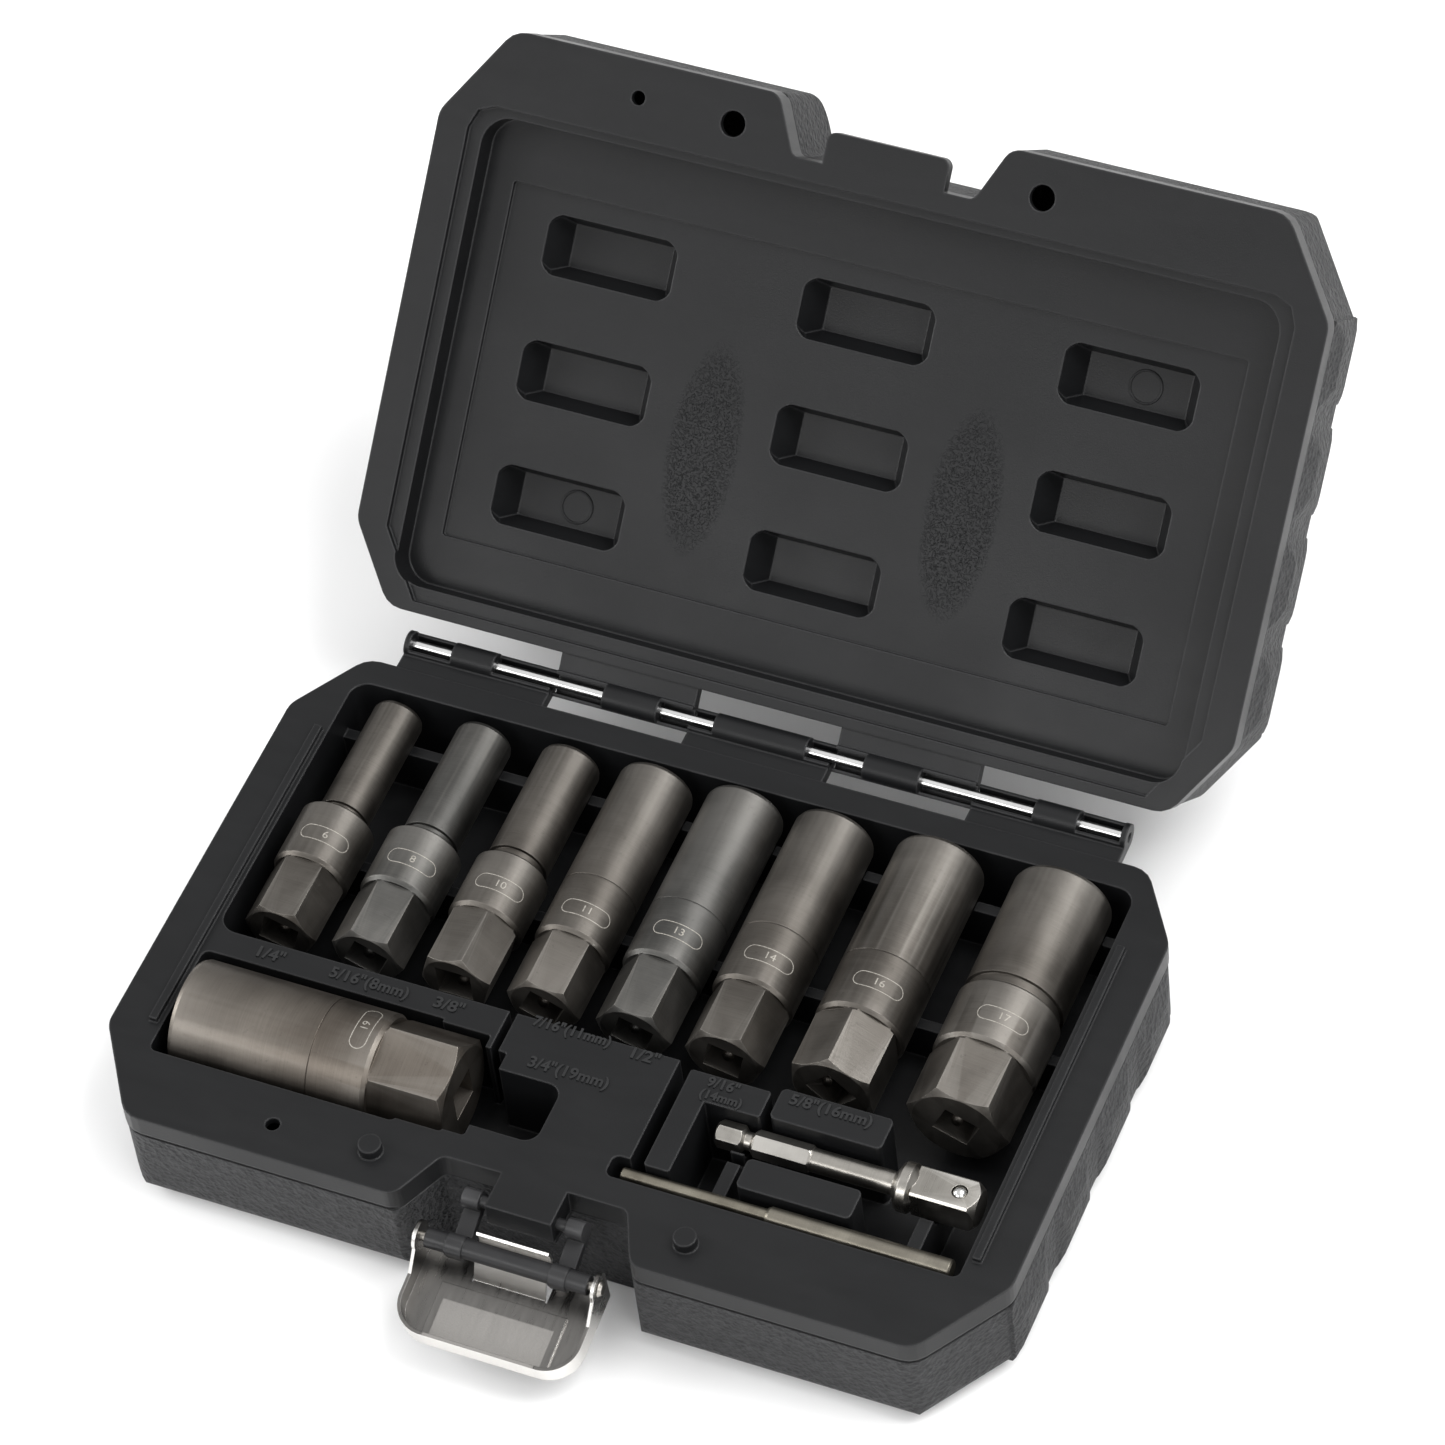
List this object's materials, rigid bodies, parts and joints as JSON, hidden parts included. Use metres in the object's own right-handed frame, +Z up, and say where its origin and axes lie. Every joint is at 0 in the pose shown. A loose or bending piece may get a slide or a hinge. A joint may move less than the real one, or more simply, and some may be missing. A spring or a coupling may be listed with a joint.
{
  "type": "socket wrench set in case",
  "caption": "Bolt-extractor sockets, a hexagon-to-square adaptor and a knock-out pin laid in a blow-moulded case with a hinged lid and a draw latch.",
  "frame": {"origin": "centre of the base's underside, where the case stands", "axes": "+X to the case's right seen from the latch, +Y from the latch towards the hinge, +Z up"},
  "size_m": [0.2488, 0.3251, 0.1529],
  "materials": {
    "case_plastic": "blow-moulded black polyethylene, satin tray and grained outside",
    "latch_plastic": "black moulded plastic",
    "bright_steel": "bright drawn steel wire",
    "nickel_sheet": "nickel-plated pressed sheet",
    "socket_steel": "satin gunmetal heat-treated steel",
    "adaptor_steel": "satin nickel-plated steel",
    "spring_steel": "drawn spring wire",
    "ball_steel": "polished ball",
    "pin_steel": "brownish oiled steel"
  },
  "bodies": {
    "base": {"base_shell": "case_plastic", "hinge_pin_left": "bright_steel", "hinge_pin_right": "bright_steel"},
    "lid": {"lid_shell": "case_plastic"},
    "latch_link": {"latch_link": "latch_plastic", "latch_rivets": "nickel_sheet"},
    "latch_plate": {"latch_plate": "nickel_sheet"},
    "socket_6mm": {"socket_6mm": "socket_steel"},
    "socket_8mm": {"socket_8mm": "socket_steel"},
    "socket_10mm": {"socket_10mm": "socket_steel"},
    "socket_11mm": {"socket_11mm": "socket_steel"},
    "socket_13mm": {"socket_13mm": "socket_steel"},
    "socket_14mm": {"socket_14mm": "socket_steel"},
    "socket_16mm": {"socket_16mm": "socket_steel"},
    "socket_17mm": {"socket_17mm": "socket_steel"},
    "socket_19mm": {"socket_19mm": "socket_steel"},
    "adaptor": {"adaptor": "adaptor_steel", "detent_spring": "spring_steel"},
    "knockout_pin": {"knockout_pin": "pin_steel"},
    "detent_ball": {"detent_ball": "ball_steel"}
  },
  "joints": [
    {"name": "lid_hinge", "type": "hinge", "parent": "base", "child": "lid", "pos_m": [0, 0.08615, 0.035], "axis": [-1, 0, 0], "range_deg": [-134, 0]},
    {"name": "latch_link_pivot", "type": "hinge", "parent": "base", "child": "latch_link", "pos_m": [0, -0.06985, 0.031], "axis": [1, 0, 0], "range_deg": [-114, 0]},
    {"name": "latch_plate_pivot", "type": "hinge", "parent": "latch_link", "child": "latch_plate", "pos_m": [0, -0.08136, 0.02612], "axis": [1, 0, 0], "range_deg": [0, 38]},
    {"name": "socket_6mm_lift", "type": "slide", "parent": "base", "child": "socket_6mm", "axis": [0, 0, 1], "range_m": [0, 0.045]},
    {"name": "socket_8mm_lift", "type": "slide", "parent": "base", "child": "socket_8mm", "axis": [0, 0, 1], "range_m": [0, 0.045]},
    {"name": "socket_10mm_lift", "type": "slide", "parent": "base", "child": "socket_10mm", "axis": [0, 0, 1], "range_m": [0, 0.045]},
    {"name": "socket_11mm_lift", "type": "slide", "parent": "base", "child": "socket_11mm", "axis": [0, 0, 1], "range_m": [0, 0.045]},
    {"name": "socket_13mm_lift", "type": "slide", "parent": "base", "child": "socket_13mm", "axis": [0, 0, 1], "range_m": [0, 0.045]},
    {"name": "socket_14mm_lift", "type": "slide", "parent": "base", "child": "socket_14mm", "axis": [0, 0, 1], "range_m": [0, 0.045]},
    {"name": "socket_16mm_lift", "type": "slide", "parent": "base", "child": "socket_16mm", "axis": [0, 0, 1], "range_m": [0, 0.045]},
    {"name": "socket_17mm_lift", "type": "slide", "parent": "base", "child": "socket_17mm", "axis": [0, 0, 1], "range_m": [0, 0.045]},
    {"name": "socket_19mm_lift", "type": "slide", "parent": "base", "child": "socket_19mm", "axis": [0, 0, 1], "range_m": [0, 0.045]},
    {"name": "adaptor_lift", "type": "slide", "parent": "base", "child": "adaptor", "axis": [0, 0, 1], "range_m": [0, 0.045]},
    {"name": "knockout_pin_lift", "type": "slide", "parent": "base", "child": "knockout_pin", "axis": [0, 0, 1], "range_m": [0, 0.045]},
    {"name": "detent_ball_press", "type": "slide", "parent": "adaptor", "child": "detent_ball", "axis": [0, 0, 1], "range_m": [-0.0008, 0], "stiffness_N_per_m": 1500, "springref_m": 0.001, "deforming": ["detent_spring"]}
  ]
}
